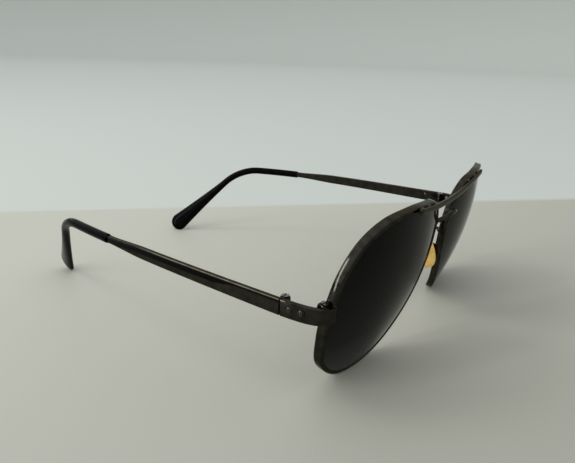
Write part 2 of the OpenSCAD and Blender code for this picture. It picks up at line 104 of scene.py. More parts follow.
def closed_curve(knots, t):
    """A point on the smooth closed curve through the knots."""
    i = math.floor(t)
    f = t - i
    a, b, c, d = (Vector(knots[(i + k) % len(knots)]) for k in (-1, 0, 1, 2))
    return (2 * b + f * (c - a) + f * f * (2 * a - 5 * b + 4 * c - d)
            + f ** 3 * (3 * b - a - 3 * c + d)) / 2


def bezier(points, t):
    """A point on the curve that four control points pull into shape."""
    a, b, c, d = (Vector(p) for p in points)
    return (1 - t) ** 3 * a + 3 * t * (1 - t) ** 2 * b + 3 * t * t * (1 - t) * c + t ** 3 * d


def outline(t, out=0.0):
    """A place on the rim's outer edge, moved outwards by out."""
    step = 0.02
    ahead = closed_curve(AVIATOR, t + step) - closed_curve(AVIATOR, t - step)
    ahead = Vector((ahead.x * RIM_W, ahead.y * RIM_H)).normalized()
    place = closed_curve(AVIATOR, t)
    return Vector((place.x * RIM_W / 2 + out * ahead.y, place.y * RIM_H / 2 - out * ahead.x))


print("outline knots:", SPANS)

# %% [markdown]
# ## From the flat outline to the face
#
# Lenses are cut from a shallow ball, turned back a little around the face (wrap) and leaned with
# the top forwards (tilt). One function takes a flat place and a depth behind the front edge, and
# gives the place in space. The lowest point of the rims then sets how high the front stands.

# %% Place on the face
def sag(place):
    return LENS_R - math.sqrt(LENS_R ** 2 - place.length_squared)


def curved(place, w):
    """Sideways, backwards and up from the lens centre, with the lens's curve added."""
    return Vector((place.x, sag(place) + w, place.y))


LEANED = (Matrix.Translation((LENS_X, HINGE_Y - FRONT_REACH, 0))
          @ Matrix.Rotation(TILT, 4, "X") @ Matrix.Rotation(WRAP, 4, "Z"))
rim_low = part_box("rim_left")[0]
EDGE = 0.35             # how far the rim's outer edges are rounded
LENS_Z = rim_low.z / MM - min((LEANED @ curved(outline(t / 4), w)).z
                              for t in range(4 * SPANS) for w in (EDGE, RIM_DEPTH - EDGE))
HINGE_Z = LENS_Z + HINGE_UP
FACE = Matrix.Translation((0, 0, LENS_Z)) @ LEANED


def on_lens(place, w):
    return FACE @ curved(place, w)


def on_rim(t, out, w):
    return on_lens(outline(t, out), w)


print(f"lens centres {LENS_Z:.2f} mm up, hinge line {HINGE_Z:.2f} mm up")

# %% [markdown]
# ## Pulling a skin along a path
#
# Wire, strip and plastic tips are all long pieces with a changing section. A curve with a bevel
# would hold one section, or scale it, but couldn't change its shape. So the section's ring of
# edges is extruded once for each station and moved into place, the way metal is drawn through a
# die. The open ends are then filled.

# %% Skin along a path
def loft(rings):
    """A closed skin pulled from the first ring of points to the last."""
    bm = bmesh.new()
    loop = [bm.verts.new(p) for p in rings[0]]
    edges = [bm.edges.new(both) for both in zip(loop, loop[1:] + loop[:1])]
    ends = list(edges)
    for places in rings[1:]:
        made = bmesh.ops.extrude_edge_only(bm, edges=edges)["geom"]
        fresh = {g for g in made if isinstance(g, bmesh.types.BMVert)}
        loop = [next(e.other_vert(v) for e in v.link_edges if e.other_vert(v) in fresh)
                for v in loop]
        edges = [bm.edges.get(both) for both in zip(loop, loop[1:] + loop[:1])]
        for v, p in zip(loop, places):
            v.co = p
    bmesh.ops.edgeloop_fill(bm, edges=ends)
    bmesh.ops.edgeloop_fill(bm, edges=edges)
    bmesh.ops.recalc_face_normals(bm, faces=bm.faces)
    return bm


# %% [markdown]
# ## Sections to pull
#
# A ring has to lie square to the way it is heading. Blender's own curve objects do this as well,
# but they decide the twist themselves, while a flat strip must keep its upper side up. So each
# ring is laid out from its heading and the side that should be uppermost. Two outlines serve
# nearly every piece: an oval for wire and plastic, and a rectangle with soft corners for strip.

# %% Rings and sections
def heading(path, i):
    return (path[min(i + 1, len(path) - 1)] - path[max(i - 1, 0)]).normalized()


UPRIGHT = Vector((0, 0, 1))


def ring(place, ahead, shape, lean=UPRIGHT):
    """A section's points, square to its heading. Its upper side leans as lean does."""
    side = ahead.cross(lean).normalized()
    up = side.cross(ahead)
    return [place + s * side + u * up for s, u in shape]


def ellipse(a, b, count=24):
    turn = [2 * math.pi * i / count for i in range(count)]
    return [(a * math.cos(q), b * math.sin(q)) for q in turn]


def soft_box(w, h, r, steps=3):
    """A rectangle w wide and h high whose corners are rounded to radius r."""
    shape = []
    for corner, (sx, sy) in enumerate(((1, 1), (-1, 1), (-1, -1), (1, -1))):
        for i in range(steps + 1):
            q = math.pi / 2 * (corner + i / steps)
            shape.append((sx * (w / 2 - r) + r * math.cos(q), sy * (h / 2 - r) + r * math.sin(q)))
    return shape


# %% [markdown]
# ## Finishing a piece
#
# A finished piece is scaled to metres, gets smooth faces with real creases kept sharp, and is
# tied to its body. The pair is a mirror image of itself, so a piece made for the left side is
# flipped for the right. Flipping turns faces inside out, so their normals are worked out again.

# %% Finish, mirror and attach
CREASE = math.radians(32)


def finish_piece(bm, name, body, material, slot, *nodes):
    bmesh.ops.scale(bm, vec=(MM, MM, MM), verts=bm.verts)
    bmesh.ops.remove_doubles(bm, verts=bm.verts, dist=1e-7)
    bmesh.ops.recalc_face_normals(bm, faces=bm.faces)
    for face in bm.faces:
        face.smooth = True
    for edge in bm.edges:
        edge.smooth = len(edge.link_faces) != 2 or edge.calc_face_angle() < CREASE
    mesh = bpy.data.meshes.new(name)
    bm.to_mesh(mesh)
    bm.free()
    mesh.materials.append(material)
    obj = bpy.data.objects.new(name, mesh)
    bpy.context.collection.objects.link(obj)
    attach(obj, body)
    if nodes:
        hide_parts(*nodes)
    print(f"{name}: {len(mesh.polygons)} faces, rides on {body}")


def pair(build, name, body, material, slot, *nodes):
    """The same piece on both sides. A {} in body or nodes stands for the side."""
    for side in ("left", "right"):
        bm = build()
        if side == "right":
            bmesh.ops.scale(bm, vec=(-1, 1, 1), verts=bm.verts)
        finish_piece(bm, f"{name}_{side}", body.format(side), material, slot,
                     *(n.format(side) for n in nodes))


def join(*parts):
    """Several bmeshes as one."""
    whole = bmesh.new()
    for part in parts:
        mesh = bpy.data.meshes.new("part")
        part.to_mesh(mesh)
        part.free()
        whole.from_mesh(mesh)
        bpy.data.meshes.remove(mesh)
    return whole


# %% [markdown]
# ## Finishes
#
# A plain colour looks like a toy, so each finish gets the small unevenness of the real one. Baked
# or painted images could add it, but noise on the piece's own coordinates needs no unwrapping
# and stays sharp from any distance.

# %% A finish and its noise
def new_finish(name, color, roughness, **sockets):
    material = bpy.data.materials.new(name)
    material.use_nodes = True
    shader = material.node_tree.nodes["Principled BSDF"]
    shader.inputs["Base Color"].default_value = (*color, 1)
    shader.inputs["Roughness"].default_value = roughness
    for socket, value in sockets.items():
        shader.inputs[socket.replace("_", " ")].default_value = value
    print("finish:", name)
    return material, shader


def noise(material, scale, detail=4.0, stretch=(1, 1, 1)):
    """Noise with scale patches to the metre, drawn out where stretch is small."""
    nodes, links = material.node_tree.nodes, material.node_tree.links
    place = nodes.new("ShaderNodeTexCoord")
    spread = nodes.new("ShaderNodeMapping")
    spread.inputs["Scale"].default_value = stretch
    cloud = nodes.new("ShaderNodeTexNoise")
    cloud.inputs["Scale"].default_value = scale
    cloud.inputs["Detail"].default_value = detail
    links.new(place.outputs["Object"], spread.inputs["Vector"])
    links.new(spread.outputs["Vector"], cloud.inputs["Vector"])
    return cloud


# %% [markdown]
# ## Unevenness
#
# Noise is only a grey cloud until it drives something. Here it goes three ways: into roughness
# within two limits, into colour between a few stops, and into a bump a few microns high.

# %% Roughness, colour and bump
def vary_roughness(material, shader, cloud, lowest, highest):
    level = material.node_tree.nodes.new("ShaderNodeMapRange")
    level.inputs["From Min"].default_value = 0.3
    level.inputs["From Max"].default_value = 0.7
    level.inputs["To Min"].default_value = lowest
    level.inputs["To Max"].default_value = highest
    material.node_tree.links.new(cloud.outputs["Fac"], level.inputs["Value"])
    material.node_tree.links.new(level.outputs["Result"], shader.inputs["Roughness"])


def vary_color(material, shader, source, *stops):
    """Colour picked from stops, pairs of a place from 0 to 1 and a colour."""
    ramp = material.node_tree.nodes.new("ShaderNodeValToRGB")
    while len(ramp.color_ramp.elements) < len(stops):
        ramp.color_ramp.elements.new(0.5)
    for element, (place, color) in zip(ramp.color_ramp.elements, stops):
        element.position = place
        element.color = (*color, 1)
    material.node_tree.links.new(source, ramp.inputs["Fac"])
    material.node_tree.links.new(ramp.outputs["Color"], shader.inputs["Base Color"])


def add_bump(material, shader, cloud, height):
    """Bumps as high as height, in millimetres."""
    bump = material.node_tree.nodes.new("ShaderNodeBump")
    bump.inputs["Distance"].default_value = height * MM
    material.node_tree.links.new(cloud.outputs["Fac"], bump.inputs["Height"])
    material.node_tree.links.new(bump.outputs["Normal"], shader.inputs["Normal"])


# %% [markdown]
# ## Metal finishes
#
# The frame is plated in polished gunmetal, a dark nickel with an olive cast. One grey of low
# roughness would do from afar, but polishing leaves faint marks along the wire and slight clouds
# of haze, so both are added. A metal shows almost only what it reflects, so its colour is the
# tint of its reflections. The solder is duller and darker, and the rivets are rubbed brighter.
# The same dark finish also paints the shade in a ring round each rivet head.

# %% Metals
gunmetal, shader = new_finish("polished_gunmetal", (0.04, 0.036, 0.026), 0.12, Metallic=1.0,
                              Specular_Tint=(0.56, 0.55, 0.51, 1))
haze = noise(gunmetal, 420)
vary_roughness(gunmetal, shader, haze, 0.07, 0.17)
vary_color(gunmetal, shader, haze.outputs["Fac"], (0.3, (0.022, 0.0205, 0.0158)),
           (0.7, (0.044, 0.041, 0.034)))
add_bump(gunmetal, shader, noise(gunmetal, 2600, 3, (1, 0.15, 1)), 0.004)

solder_and_shade, shader = new_finish("dark_solder_and_shade", (0.06, 0.057, 0.05), 0.38, Metallic=1.0)
grain = noise(solder_and_shade, 1800)
vary_roughness(solder_and_shade, shader, grain, 0.2, 0.4)
vary_color(solder_and_shade, shader, grain.outputs["Fac"], (0.3, (0.012, 0.011, 0.009)),
           (0.7, (0.045, 0.041, 0.034)))
add_bump(solder_and_shade, shader, grain, 0.02)

screw_steel, shader = new_finish("plated_screw", (0.16, 0.155, 0.14), 0.16, Metallic=1.0)
turning = noise(screw_steel, 3000, 2, (1, 1, 0.1))
vary_roughness(screw_steel, shader, turning, 0.12, 0.24)
vary_color(screw_steel, shader, turning.outputs["Fac"], (0.3, (0.08, 0.076, 0.068)),
           (0.7, (0.17, 0.165, 0.15)))

rivet_steel, shader = new_finish("rivet_steel", (0.07, 0.072, 0.075), 0.1, Metallic=1.0)
rubbed = noise(rivet_steel, 2400, 2)
vary_roughness(rivet_steel, shader, rubbed, 0.06, 0.16)
vary_color(rivet_steel, shader, rubbed.outputs["Fac"], (0.35, (0.03, 0.031, 0.033)),
           (0.7, (0.085, 0.088, 0.094)))

# %% [markdown]
# ## Enamel, plastics and lenses
#
# The inlay is stoved enamel, glossy black over a skin that is never quite flat. The tips are
# tumbled acetate, black with a hint of brown. A darker colour alone would leave both grey under a
# pale room, so a low index of refraction keeps them deep. The pads are amber silicone: light sinks
# in and comes out again, which is what subsurface scattering does. The lenses could be real glass,
# but they are almost opaque, so a smooth dark skin is enough, a little paler at the bottom.

# %% Enamel, plastics and lenses
enamel, shader = new_finish("black_enamel", (0.0015, 0.0015, 0.002), 0.08, IOR=1.12)
flow = noise(enamel, 260, 2)
vary_roughness(enamel, shader, flow, 0.05, 0.12)
add_bump(enamel, shader, flow, 0.02)

acetate, shader = new_finish("black_acetate", (0.002, 0.0019, 0.0017), 0.1, IOR=1.1)
tumbled = noise(acetate, 500)
vary_roughness(acetate, shader, tumbled, 0.05, 0.13)
vary_color(acetate, shader, tumbled.outputs["Fac"], (0.35, (0.001, 0.001, 0.001)),
           (0.75, (0.0032, 0.0028, 0.0024)))
add_bump(acetate, shader, noise(acetate, 190, 2), 0.03)

amber, shader = new_finish("amber_pad", (0.86, 0.50, 0.12), 0.34, Subsurface_Weight=0.8,
                           Subsurface_Scale=0.003)
cloudy = noise(amber, 320)
vary_roughness(amber, shader, cloudy, 0.24, 0.42)
vary_color(amber, shader, cloudy.outputs["Fac"], (0.3, (0.68, 0.41, 0.08)),
           (0.7, (0.84, 0.61, 0.22)))

lens_tint, shader = new_finish("lens_tint", (0.006, 0.0062, 0.0058), 0.03, IOR=1.1)
nodes = lens_tint.node_tree.nodes
place = nodes.new("ShaderNodeTexCoord")
split = nodes.new("ShaderNodeSeparateXYZ")
rise = nodes.new("ShaderNodeMapRange")
rise.inputs["From Max"].default_value = 0.05
lens_tint.node_tree.links.new(place.outputs["Object"], split.inputs["Vector"])
lens_tint.node_tree.links.new(split.outputs["Z"], rise.inputs["Value"])
vary_color(lens_tint, shader, rise.outputs["Result"], (0.02, (0.045, 0.046, 0.043)),
           (0.3, (0.013, 0.0135, 0.0125)), (0.8, (0.006, 0.0062, 0.0058)))
vary_roughness(lens_tint, shader, noise(lens_tint, 90), 0.02, 0.06)

# %% [markdown]
# ## Rims
#
# The eyewire is drawn wire with a groove inside that grips the lens. It could be a curve with a
# bevel profile, but a section that must lie square to a curved face twists there. Lofting it on
# the face's own coordinates keeps it true. It is one skin from the cut at the temple side, all
# the way round, and back to the cut. The lens hides the groove, so the inside is plain.

# %% Eyewires
STATIONS = 10           # rings in each span of the outline
CUT = 0.012             # half the cut at the closing blocks, in spans


def eyewire():
    stops = [CUT] + [i / STATIONS for i in range(1, SPANS * STATIONS)] + [SPANS - CUT]
    section = [(s - RIM_WALL / 2, w + RIM_DEPTH / 2)
               for s, w in soft_box(RIM_WALL, RIM_DEPTH, EDGE, 4)]
    return loft([[on_rim(t, s, w) for s, w in section] for t in stops])


pair(eyewire, "eyewire", "front", gunmetal, "frame_metal", "rim_{}")

# %% [markdown]
# ## Lenses
#
# A lens is a slice of a thick-walled ball, ground to the rim's shape. A sphere cut by a boolean
# would leave long thin faces that shade badly. Here the skin starts as a tiny ring at the middle
# of the front, spreads to the edge, turns over it and closes in again at the back, so its faces
# follow the outline and the reflections stay smooth.

# %% Lenses
FRONT_STEP = (RIM_DEPTH - LENS_T) / 2     # lens front behind the rim's front edge
LENS_GRIP = 0.12        # how far the rim holds the lens's edge
SPREAD = [0.02, 0.1, 0.2, 0.3, 0.4, 0.5, 0.6, 0.7, 0.8, 0.9, 0.97, 1.0]


def lens_blank():
    rims = [outline(-i / STATIONS, LENS_GRIP - RIM_WALL) for i in range(SPANS * STATIONS)]
    front = [[on_lens(p * k, FRONT_STEP) for p in rims] for k in SPREAD]
    back = [[on_lens(p * k, FRONT_STEP + LENS_T) for p in rims] for k in reversed(SPREAD)]
    return loft(front + back)


pair(lens_blank, "lens_glass", "front", lens_tint, "lenses", "lens_{}")

# %% [markdown]
# ## Brow bar
#
# The brow bar is flat strip with soft edges, bent down over the nose and drawn to a thin end. It
# is brazed on, and the braze shows as a small dark lump. Boxes set along a curve would show their
# joints, so one rounded section is lofted along the bend and shrinks near both ends.

# %% Brow bar
BROW_W, BROW_H, BROW_T, BROW_MID = 70.0, 1.7, 1.1, 21.8
BROW_END, BROW_OFF = 4.3, 6.5             # where on the outline it meets and leaves the rim
BROW_TIP, BROW_TAPER = 0.45, 1.8          # size of the thin end, and how long it tapers
BROW_STEPS = 48
BRAZE = 0.12            # how far brazed parts sink into each other
brow_y = min(on_rim(mix(BROW_END, BROW_OFF, i / 20), -RIM_WALL / 2, 0).y for i in range(21))


def brow_bar():
    end_z = on_rim(BROW_END, -RIM_WALL / 2, 0).z
    dip = end_z - LENS_Z - BROW_MID
    path = [Vector((k * BROW_W / 2, brow_y - BROW_T / 2 + BRAZE, end_z - dip * (1 - k ** 2)))
            for k in (i / BROW_STEPS for i in range(-BROW_STEPS, BROW_STEPS + 1))]
    rings = []
    for i, p in enumerate(path):
        from_end = min(i, len(path) - 1 - i) / BROW_STEPS * BROW_W / 2
        size = mix(BROW_TIP, 1, ease(from_end / BROW_TAPER))
        shape = [(a * size, b * size) for a, b in soft_box(BROW_T, BROW_H, 0.45, 4)]
        rings.append(ring(p, heading(path, i), shape))
    return loft(rings)


finish_piece(brow_bar(), "brow_strip", "front", gunmetal, "frame_metal", "brow_bar")

# %% [markdown]
# ## Bridge
#
# The bridge carries the pull between the rims, so it is round wire, bent in one smooth bow. A
# curve object with a round bevel would look the same, but a lofted ring keeps one way of working
# for every wire here and gives a closed mesh at once. Half the path is made and then mirrored.

# %% Bridge wire
BRIDGE_D, BRIDGE_UP, BRIDGE_BOW = 1.5, 14.5, 3.4
BRIDGE_IN = RIM_DEPTH / 2 - 0.3           # the wire's depth in the rim


def nasal_place(up):
    """Where on the nose side of the outline the rim is this high above the lens centres."""
    places = [6.2 + 0.05 * i for i in range(97)]
    return min(places, key=lambda t: abs(on_rim(t, 0, 0).z - LENS_Z - up))


def bridge_wire():
    foot = on_rim(nasal_place(BRIDGE_UP), BRIDGE_D * 0.1, BRIDGE_IN)
    knee = foot + Vector((-1.5, -BRIDGE_BOW * 0.9, 1.2))
    top = Vector((0, foot.y - BRIDGE_BOW, foot.z + 2))
    crown = top + Vector((foot.x * 0.45, 0, 0))
    half = [bezier((foot, knee, crown, top), i / 24) for i in range(25)]
    path = [Vector((-p.x, p.y, p.z)) for p in half] + half[-2::-1]
    shape = ellipse(BRIDGE_D / 2, BRIDGE_D / 2, 20)
    return loft([ring(p, heading(path, i), shape) for i, p in enumerate(path)])


finish_piece(bridge_wire(), "bridge_wire", "front", gunmetal, "frame_metal", "bridge")

# %% [markdown]
# ## End pieces
#
# From the hinge, a strip runs forwards and turns round the corner of the face onto the front of
# the rim. A box could be bent with a Simple Deform modifier, but four control points say where
# the strip starts and ends and how it leaves both, so it meets its neighbours exactly. Its edges
# are rounded a little and catch a line of light.

# %% End pieces
END_H, END_DROP, BUTT_GAP = 4.4, 1.0, 0.4
SEAT_SINK = 0.15
HINGE = Vector((HALF_W - STRIP_T / 2, HINGE_Y, HINGE_Z))
seat = on_rim(0, -RIM_WALL * 0.6, SEAT_SINK - STRIP_T / 2)
END_CURVE = (HINGE - Vector((0, BUTT_GAP / 2, 0)), HINGE + Vector((0.3, -6.6, -0.3)),
             Vector((seat.x + 4.4, seat.y + 0.9, HINGE_Z - END_DROP)),
             Vector((seat.x, seat.y, HINGE_Z - END_DROP)))


def end_strip():
    path = [bezier(END_CURVE, i / 40) for i in range(41)]
    shape = soft_box(STRIP_T, END_H, 0.3, 2)
    rings = [ring(p, heading(path, i) if i else Vector((0, -1, 0)), shape)
             for i, p in enumerate(path)]
    return loft(rings)


pair(end_strip, "end_strip", "front", gunmetal, "frame_metal", "end_piece_{}")

# %% [markdown]
# ## Temples
#
# Each temple is a flat strip, high at the hinge and low where it enters the plastic tip, which
# bends down behind the ear. Strip, enamel and tip all follow one line, the spine. Each could have
# a curve of its own, but one list of stations keeps them in line at the mouth of the sleeve. How
# far the tip bends down isn't chosen: the paddle's edge has to rest on the table.

# %% Where the temple bends
EAR_BACK, EAR_IN, EAR_RISE = 86.0, 13.0, 2.4          # start of the ear bend from the hinge
SPLAY, LIFT, EAR_TURN, EAR_FALL = 5.5, 2.0, 16.0, 0.5 # headings at the hinge and the bend
EAR_R = 9.0             # length of the ear bend on each side of its corner
TIP_L, TIP_IN = 39.5, math.radians(28)
PADDLE_W, PADDLE_T = 8.0, 2.5


def facing(turn, rise):
    """A heading that turns inwards from straight back, and rises, in degrees."""
    a, b = math.radians(turn), math.radians(rise)
    return Vector((-math.sin(a) * math.cos(b), math.cos(a) * math.cos(b), math.sin(b)))


def tip_bend(low):
    """How far down the tip bends, so that its end stays this high above the table."""
    return math.asin((corner.z - low) / (TIP_L * math.cos(TIP_IN)))


temple_ahead = facing(SPLAY, LIFT)
ear_ahead = facing(EAR_TURN, -EAR_FALL)
ear_start = HINGE + Vector((-EAR_IN, EAR_BACK, EAR_RISE))
corner = ear_start + ear_ahead * EAR_R
slope = math.sin(TIP_IN) * math.sin(tip_bend(PADDLE_W / 2))
down = tip_bend(math.hypot(PADDLE_W / 2 * math.sqrt(1 - slope ** 2), PADDLE_T / 2 * slope))
tip_ahead = Vector((-math.sin(TIP_IN), math.cos(TIP_IN) * math.cos(down),
                    -math.cos(TIP_IN) * math.sin(down)))
tip_lean = Vector((0, math.sin(down), math.cos(down)))
print(f"tips bend down by {math.degrees(down):.1f} degrees")

# %% [markdown]
# ## The spine
#
# The stations run along one smooth curve to the ear, a second one round the bend, and a straight
# line to the tip's end. One long curve would need fewer lines, but it would round off the bend
# and bow the tip.

# %% The temple's spine
TEMPLE_STEPS, BEND_STEPS, TIP_STEPS = 88, 24, 30
TIP_FROM = 68.0         # the sleeve's mouth, measured from the hinge
temple_curve = (HINGE, HINGE + temple_ahead * EAR_BACK / 3,
                ear_start - ear_ahead * EAR_BACK / 3, ear_start)
bend_curve = (ear_start, ear_start + ear_ahead * EAR_R * 0.6,
              corner + tip_ahead * EAR_R * 0.4, corner + tip_ahead * EAR_R)
SPINE = ([bezier(temple_curve, i / TEMPLE_STEPS) for i in range(TEMPLE_STEPS + 1)]
         + [bezier(bend_curve, i / BEND_STEPS) for i in range(1, BEND_STEPS + 1)]
         + [corner + tip_ahead * mix(EAR_R, TIP_L, i / TIP_STEPS)
            for i in range(1, TIP_STEPS + 1)])
MOUTH = 2 * round(TIP_FROM / (ear_start - HINGE).length * TEMPLE_STEPS / 2)
LAST = len(SPINE) - 1
print(f"temple spine: {LAST + 1} stations, tip mouth at {MOUTH}")

# %% [markdown]
# ## Rings on the spine
#
# The strip stands upright, and past the ear its upper side tips over with the plastic. Its height
# could be a plain taper, but a real temple slims slowly at first and quickly near the sleeve.

# %% Rings on the spine
TEMPLE_H, TEMPLE_MID_H, TEMPLE_END_H = 4.3, 3.5, 2.1
SLIM_FROM = 0.72        # how far along the strip it starts to slim quickly


def spine_ahead(i):
    return temple_ahead if i == 0 else heading(SPINE, i)


def spine_ring(i, shape):
    """A ring on the spine. The first one is cut square, to face the end piece."""
    if i == 0:
        return ring(SPINE[0] + Vector((0, BUTT_GAP / 2, 0)), Vector((0, 1, 0)), shape)
    lean = UPRIGHT.lerp(tip_lean, min(1, max(0, (i - TEMPLE_STEPS) / BEND_STEPS)))
    return ring(SPINE[i], spine_ahead(i), shape, lean)


def strip_h(i):
    k = i / MOUTH
    if k < SLIM_FROM:
        return mix(TEMPLE_H, TEMPLE_MID_H, k / SLIM_FROM)
    return mix(TEMPLE_MID_H, TEMPLE_END_H, ease((k - SLIM_FROM) / (1 - SLIM_FROM)))


print(f"strip: {strip_h(0):.1f} mm high at the hinge, {strip_h(MOUTH):.1f} mm at the sleeve")

# %% [markdown]
# ## Strip and enamel
#
# A groove in the upper half of the strip's outer face holds black enamel. The strip could be a box
# with the groove cut by a boolean, but the groove changes all the way along, and a boolean would
# leave ragged faces. A section of twelve points makes the groove part of the profile, and lets it
# thin out to a line towards the hinge. The enamel is a second skin that fills it.

# %% Temple strips
THIN, INLAY_H, INLAY_DEEP = 0.3, 1.4, 0.25    # groove as a line, at full height, and its depth
BORDER = 0.45           # metal left above and below the groove
OPENS_AT, OPENS_OVER = 0.2, 0.14          # where along the strip the line grows to a band
STRIP_EDGE = 0.16
ENAMEL_DROP = 0.03      # the enamel lies this far below the metal


def groove_top(i):
    return strip_h(i) / 2 - BORDER


def groove_low(i):
    k = ease((i / MOUTH - OPENS_AT) / OPENS_OVER)
    return groove_top(i) - min(mix(THIN, INLAY_H, k), strip_h(i) - 2 * BORDER)


def temple_section(i):
    a, b, c = STRIP_T / 2, strip_h(i) / 2, STRIP_EDGE
    return [(a, b - c), (a, groove_top(i)), (a - INLAY_DEEP, groove_top(i)),
            (a - INLAY_DEEP, groove_low(i)), (a, groove_low(i)), (a, c - b), (a - c, -b),
            (c - a, -b), (-a, c - b), (-a, b - c), (c - a, b), (a - c, b)]


def temple_strip():
    return loft([spine_ring(i, temple_section(i)) for i in range(MOUTH + 1)])


def temple_enamel():
    skin, bed = STRIP_T / 2 - ENAMEL_DROP, STRIP_T / 2 - INLAY_DEEP
    return loft([spine_ring(i, [(skin, groove_top(i)), (skin, groove_low(i)),
                                (bed, groove_low(i)), (bed, groove_top(i))])
                 for i in range(MOUTH + 1)])


pair(temple_strip, "temple_strip", "temple_{}", gunmetal, "frame_metal", "temple_{}")
pair(temple_enamel, "temple_enamel", "temple_{}", enamel, "inlays", "temple_inlay_{}")

# %% [markdown]
# ## Plastic tips
#
# The temple's wire core runs on inside a moulded tip: an oval sleeve that bends down and inwards
# behind the ear and spreads to a flat paddle with a round end. A rough cage could be subdivided,
# but its sizes would drift. Lofted ovals keep them, and the end closes in ever smaller rings.

# %% Tips
SLEEVE_H, SLEEVE_W = 3.0, 2.7
PADDLE_FROM = LAST - TIP_STEPS + 1
LIP = ((0.55, 0.25), (0.8, 0.08), (0.93, 0.0), (1.0, 0.25))   # size and place of the mouth's rings


def tip_size(i):
    k = min(1, max(0, (i - PADDLE_FROM) / (LAST - PADDLE_FROM)))
    return (mix(SLEEVE_W, PADDLE_T, ease(k)) / 2, mix(SLEEVE_H, PADDLE_W, k ** 1.3) / 2)


def tip():
    thick, wide = tip_size(LAST)
    mouth_ahead = spine_ahead(MOUTH)
    rings = [ring(SPINE[MOUTH] + mouth_ahead * back, mouth_ahead,
                  ellipse(size * SLEEVE_W / 2, size * SLEEVE_H / 2)) for size, back in LIP]
    rings += [spine_ring(i, ellipse(*tip_size(i))) for i in range(MOUTH + 1, LAST + 1)]
    for step in range(1, 12):
        q = math.radians(8 * step)
        rings.append(ring(SPINE[LAST] + tip_ahead * wide * math.sin(q), tip_ahead,
                          ellipse(thick * math.cos(q) ** 0.6, wide * math.cos(q)), tip_lean))
    return loft(rings)


pair(tip, "ear_tip", "temple_{}", acetate, "tips", "temple_tip_{}")

# %% [markdown]
# ## Nose pads
#
# A pad is a soft teardrop, thin at the rim and full in the middle, wider at the bottom. A scaled
# ball would be too even, so it is pulled from its lowest point to its highest, with a section
# that swells and shrinks by one formula and is flatter than a circle.

# %% Pad shape
PAD_L, PAD_W, PAD_T = 14.0, 8.0, 2.2
PAD_APART, PAD_BEHIND, PAD_DOWN = 18.0, 6.0, 0.4
PAD_SPLAY, PAD_TURN = math.radians(14), math.radians(20)
PAD_TAPER, PAD_FULL = 0.42, 0.35          # narrower at the top, and how full the middle is
PAD_MIDDLE = Vector((PAD_APART / 2, PAD_BEHIND - FRONT_REACH + HINGE_Y, LENS_Z - PAD_DOWN))
PAD_FRAME = (Matrix.Translation(PAD_MIDDLE) @ Matrix.Rotation(-PAD_TURN, 4, "Z")
             @ Matrix.Rotation(-PAD_SPLAY, 4, "Y"))


def pad_half_width(z):
    oval = math.sqrt(max(0, 1 - (2 * z / PAD_L) ** 2))
    return PAD_W / 2 * oval * (1 - PAD_TAPER * z / PAD_L)


def nose_pad():
    rings = []
    for step in range(-29, 30):
        z = PAD_L / 2 * math.sin(math.radians(3 * step))
        half = pad_half_width(z)
        thick = PAD_T / 2 * (half / PAD_W * 2) ** PAD_FULL
        rings.append([PAD_FRAME @ Vector((thick * math.cos(q) * (0.55 + 0.45 * abs(math.cos(q))),
                                          half * math.sin(q), z))
                      for q in (2 * math.pi * i / 32 for i in range(32))])
    return loft(rings)


pair(nose_pad, "pad", "pad_{}", amber, "pads", "nose_pad_{}")

# %% [markdown]
# ## Pad arms
#
# Each pad hangs on thin wire that leaves the back of the rim, loops backwards and comes down to a
# small box. The wearer bends these arms to fit the nose. A spin would only give a plain arc, while
# four control points give such a loop directly.

# %% Pad arms
ARM_D, ARM_UP = 1.0, 7.5                  # the wire, and how high it leaves the rim
BOX_IN, BOX_W = PAD_T / 2 + 0.25, 1.5


def pad_arm():
    root = on_rim(nasal_place(ARM_UP), -RIM_WALL / 2, RIM_DEPTH - 0.3)
    reach = BOX_IN + BOX_W / 2 + 1.3
    spot = PAD_MIDDLE + Vector((math.cos(PAD_TURN), -math.sin(PAD_TURN), 0)) * reach
    curve = (root, root + Vector((0.2, 7.5, 3.5)), spot + Vector((5, 4.5, 6)), spot)
    path = [bezier(curve, i / 50) for i in range(51)]
    shape = ellipse(ARM_D / 2, ARM_D / 2, 16)
    return loft([ring(p, heading(path, i), shape) for i, p in enumerate(path)])


pair(pad_arm, "pad_wire", "front", gunmetal, "frame_metal", "pad_arm_{}")

# %% [markdown]
# ## Turned and milled parts
#
# Hinge knuckles, rivets and screws are turned on a lathe; leaves, blocks and boxes are cut from
# bar. So two helpers are enough: one spins a profile round an axis, the other takes a cube to
# size and breaks its edges with a bevel. A broken edge always catches a thin line of light, and
# that line is what makes small metal look real.

# %% Lathe and block
def lathe(profile, closed=True, steps=40):
    """A turned shape from points of radius and height. An open profile ends on the axis."""
    bm = bmesh.new()
    points = [bm.verts.new((r, 0, z)) for r, z in profile]
    ahead = points[1:] + points[:1] if closed else points[1:]
    edges = [bm.edges.new(both) for both in zip(points, ahead)]
    bmesh.ops.spin(bm, geom=points + edges, axis=(0, 0, 1), cent=(0, 0, 0), angle=2 * math.pi,
                   steps=steps, use_merge=True)
    bmesh.ops.remove_doubles(bm, verts=bm.verts, dist=1e-5)
    bmesh.ops.recalc_face_normals(bm, faces=bm.faces)
    return bm


def block(low, high, chamfer=0.12):
    """A box between two corners with broken edges."""
    bm = bmesh.new()
    bmesh.ops.create_cube(bm, size=1)
    low, high = Vector(low), Vector(high)
    bmesh.ops.scale(bm, vec=high - low, verts=bm.verts)
    bmesh.ops.translate(bm, vec=(low + high) / 2, verts=bm.verts)
    bmesh.ops.bevel(bm, geom=bm.edges, offset=chamfer, offset_type="OFFSET", segments=2,
                    profile=0.5, affect="EDGES", material=-1)
    return bm


def placed(bm, matrix):
    bmesh.ops.transform(bm, matrix=matrix, verts=bm.verts)
    return bm


